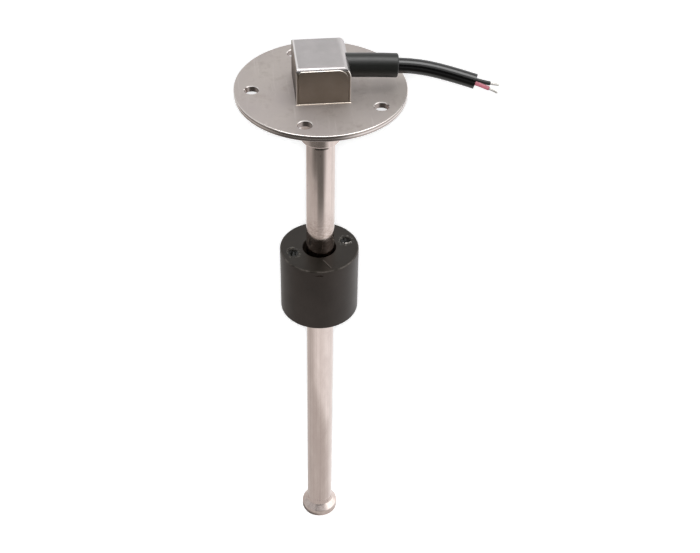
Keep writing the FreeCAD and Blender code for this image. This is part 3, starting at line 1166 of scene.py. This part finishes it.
def make_table(height):
    """What the metal mirrors below: a table, light to the right, grey to the left and dark far in front."""
    material, tree = stage_finish("mirrored_table")
    across, along, _ = axes(add(tree, "ShaderNodeTexCoord").outputs["Object"])
    reach = from_axis(across, along)
    turn = math_of("ARCTAN2", across, times(along, -1.0))
    near_edge = between(reach, 0.06, 0.10, radians(70), radians(-58))
    far_edge = between(reach, 0.19, 0.235, 0.0, radians(73))
    from_edge = minus(turn, plus(near_edge, far_edge))
    softness = between(reach, 0.06, 0.10, radians(60), radians(30))
    right = soft(math_of("DIVIDE", from_edge, softness), -1.0, 1.0)
    wide = soft(reach, 0.284, 0.292)
    left_tone = mixed(wide, (0.58, 0.555, 0.535), (0.46, 0.44, 0.42))
    far_right = soft(turn, 0.0, radians(60))
    right_tone = mixed(far_right, (0.91, 0.895, 0.885), (0.98, 0.975, 0.975))
    tone = mixed(right, left_tone, right_tone)
    middle = between(wide, 0.0, 1.0, radians(-1.5), radians(-20))
    half_width = between(wide, 0.0, 1.0, radians(27), radians(52))
    share = math_of("DIVIDE", apart(turn, middle), half_width)
    front = times(soft(share, 1.45, 0.5), soft(reach, 0.215, 0.27))
    front_tone = mixed(soft(reach, 0.33, 0.40), (0.155, 0.15, 0.14), (0.09, 0.085, 0.08))
    tone = mixed(front, tone, front_tone)
    behind = soft(size_of(turn), radians(130), radians(178))
    tone = mixed(behind, tone, (0.95, 0.93, 0.91))
    tone = mixed(soft(along, 0.2, 0.5), tone, (1.1, 1.1, 1.1))
    # Painted contact shadow in the mirrored table, close round the plug's foot on its left side
    painted_contact_shadow = times(soft(reach, 0.0105, 0.0092), soft(turn, 0.3, -0.6))
    tone = mixed(painted_contact_shadow, tone, (0.12, 0.11, 0.10))
    glow = made(tree, "ShaderNodeEmission", {"Color": tone})
    add(tree, "ShaderNodeOutputMaterial", {"Surface": glow})
    mirrored_card("table", level_corners(height), material)


def make_card(name, corners, strength):
    """Glowing softbox or dark flag that shows in the metal."""
    material, tree = stage_finish(name)
    glow = made(tree, "ShaderNodeEmission", {"Strength": strength})
    add(tree, "ShaderNodeOutputMaterial", {"Surface": glow})
    mirrored_card(name, corners, material)


def make_key(place):
    """Small softbox just over the lens, with the same strength at every distance."""
    data = bpy.data.lights.new("key", "AREA")
    data.shape = "DISK"
    data.size = key_size
    data.energy = key_power
    data.use_nodes = True
    tree = data.node_tree
    even = add(tree, "ShaderNodeLightFalloff", {"Strength": 1.0}).outputs["Constant"]
    set_inputs(tree.nodes["Emission"], {"Strength": even})
    lamp = new_object("key", data)
    lamp.location = place
    lamp.rotation_euler = (key_target - place).to_track_quat("-Z", "Y").to_euler()
    lamp.visible_glossy = False
    lamp.visible_camera = False


def make_world():
    """Even room light, white for the camera, and walls that the metal mirrors, dim in front."""
    world = bpy.data.worlds.new("studio")
    world.use_nodes = True
    tree = world.node_tree
    tree.nodes.clear()
    across, along, up = axes(add(tree, "ShaderNodeTexCoord").outputs["Generated"])
    side = between(across, -0.8, 0.8, 0.5, 1.6)
    back = made(tree, "ShaderNodeMix", {0: soft(up, 0.45, 0.15), 2: back_light, 3: side})
    middle = soft(size_of(across), 0.75, 0.35)
    dim = between(up, 0.3, 0.75, 0.25, 0.85)
    front = times(side, made(tree, "ShaderNodeMix", {0: middle, 2: 1.0, 3: dim}))
    wall = made(tree, "ShaderNodeMix", {0: soft(along, -0.15, 0.3), 2: front, 3: back})
    rays = add(tree, "ShaderNodeLightPath").outputs
    mirrored = math_of("MAXIMUM", rays["Is Glossy Ray"], rays["Is Transmission Ray"])
    room, walls, paper = [
        made(tree, "ShaderNodeBackground", {"Color": (1, 1, 1), "Strength": strength})
        for strength in (room_light, wall, 1.0)
    ]
    both = made(tree, "ShaderNodeMixShader", {0: mirrored, 1: room, 2: walls})
    seen = made(tree, "ShaderNodeMixShader", {0: rays["Is Camera Ray"], 1: both, 2: paper})
    add(tree, "ShaderNodeOutputWorld", {"Surface": seen})
    scene.world = world


def make_camera():
    data = bpy.data.cameras.new("camera")
    data.lens = camera_lens
    data.sensor_width = camera_sensor
    data.shift_x = camera_shift
    data.clip_start = camera_nearest
    camera = new_object("camera", data)
    camera.location = camera_place
    camera.rotation_euler = Euler([radians(turn) for turn in camera_turn])
    scene.camera = camera


turned = turned_tree()
drilled = drilled_tree(turned)
twisted = strand_tree()

boot_rubber = rubber_finish(
    "boot_rubber_skin", (0.003, 0.0035, 0.0025), (0.006, 0.0065, 0.005), 0.42, 0.34, 160, 0.5)
jacket_vinyl = rubber_finish(
    "jacket_vinyl_skin", (0.001, 0.001, 0.001), (0.003, 0.003, 0.0025), 0.20, 0.14, 120, 0.65)
signal_vinyl = plain_finish("signal_core_vinyl", (0.62, 0.20, 0.25), (0.52, 0.15, 0.20), 0.4)
ground_vinyl = plain_finish("ground_core_vinyl", (0.02, 0.02, 0.02), (0.012, 0.012, 0.012), 0.4)
tinned = plain_finish("tinned_strand", (0.72, 0.70, 0.67), (0.58, 0.56, 0.53), 0.3, 1.0, 900)
plate_steel = plate_finish()

cable = make_cable(jacket_vinyl)
boot = make_boot(boot_rubber)
signal_core = make_core("signal_core_end", 1, signal_vinyl, "signal_vinyl", "signal_core")
ground_core = make_core("ground_core_end", -1, ground_vinyl, "ground_vinyl", "ground_core")
tinned_ends = make_tinned_ends(tinned)
make_flange(flange_finish())
make_collar(polished_steel("turned_collar_steel", 0.15, 0.22)[0])
make_stem(stem_finish())
make_end_plug(polished_steel("polished_plug_steel", 0.15, 0.21)[0])
make_wrap(wrap_finish())
make_end_plate("front_plate", front_low, front_high, -1, plate_steel, "head_front_plate")
make_end_plate("rear_plate", rear_low, rear_high, 1, plate_steel, "head_rear_plate")
make_float(foam_finish())
make_compound(compound_finish())

inner_finishes = {
    "head_potting": plain_finish("potting_resin_cast", (0.03, 0.03, 0.03), (0.02, 0.02, 0.02), 0.3),
    "signal_lead": signal_vinyl,
    "ground_lead": ground_vinyl,
    "board_sleeve": plain_finish("sleeve_film_skin", (0.74, 0.72, 0.66), (0.68, 0.66, 0.60), 0.45),
    "sensor_board": plain_finish("board_laminate_lacquer", (0.07, 0.24, 0.11), (0.05, 0.19, 0.09), 0.35),
    "reed_capsules": plain_finish("reed_glass_tint", (0.70, 0.80, 0.75), (0.62, 0.72, 0.67), 0.1),
    "reed_leads": plain_finish("reed_plating", (0.66, 0.65, 0.62), (0.56, 0.55, 0.52), 0.3, 1.0),
    "chain_resistors": plain_finish("resistor_coat", (0.035, 0.035, 0.04), (0.02, 0.02, 0.025), 0.5),
    "float_magnets": plain_finish("magnet_plating", (0.38, 0.38, 0.39), (0.30, 0.30, 0.31), 0.4, 1.0),
}
for node, material in inner_finishes.items():
    materials = frame["nodes"][node].data.materials
    materials.clear()
    materials.append(material)

make_floor(floor_height)
make_table(floor_height + table_lift)
make_card("ceiling_softbox", softbox_corners, softbox_light)
make_card("lens_flag", flag_corners, flag_light)
make_world()
make_key(camera_place + key_lift)
make_camera()
scene.view_settings.view_transform = "Standard"
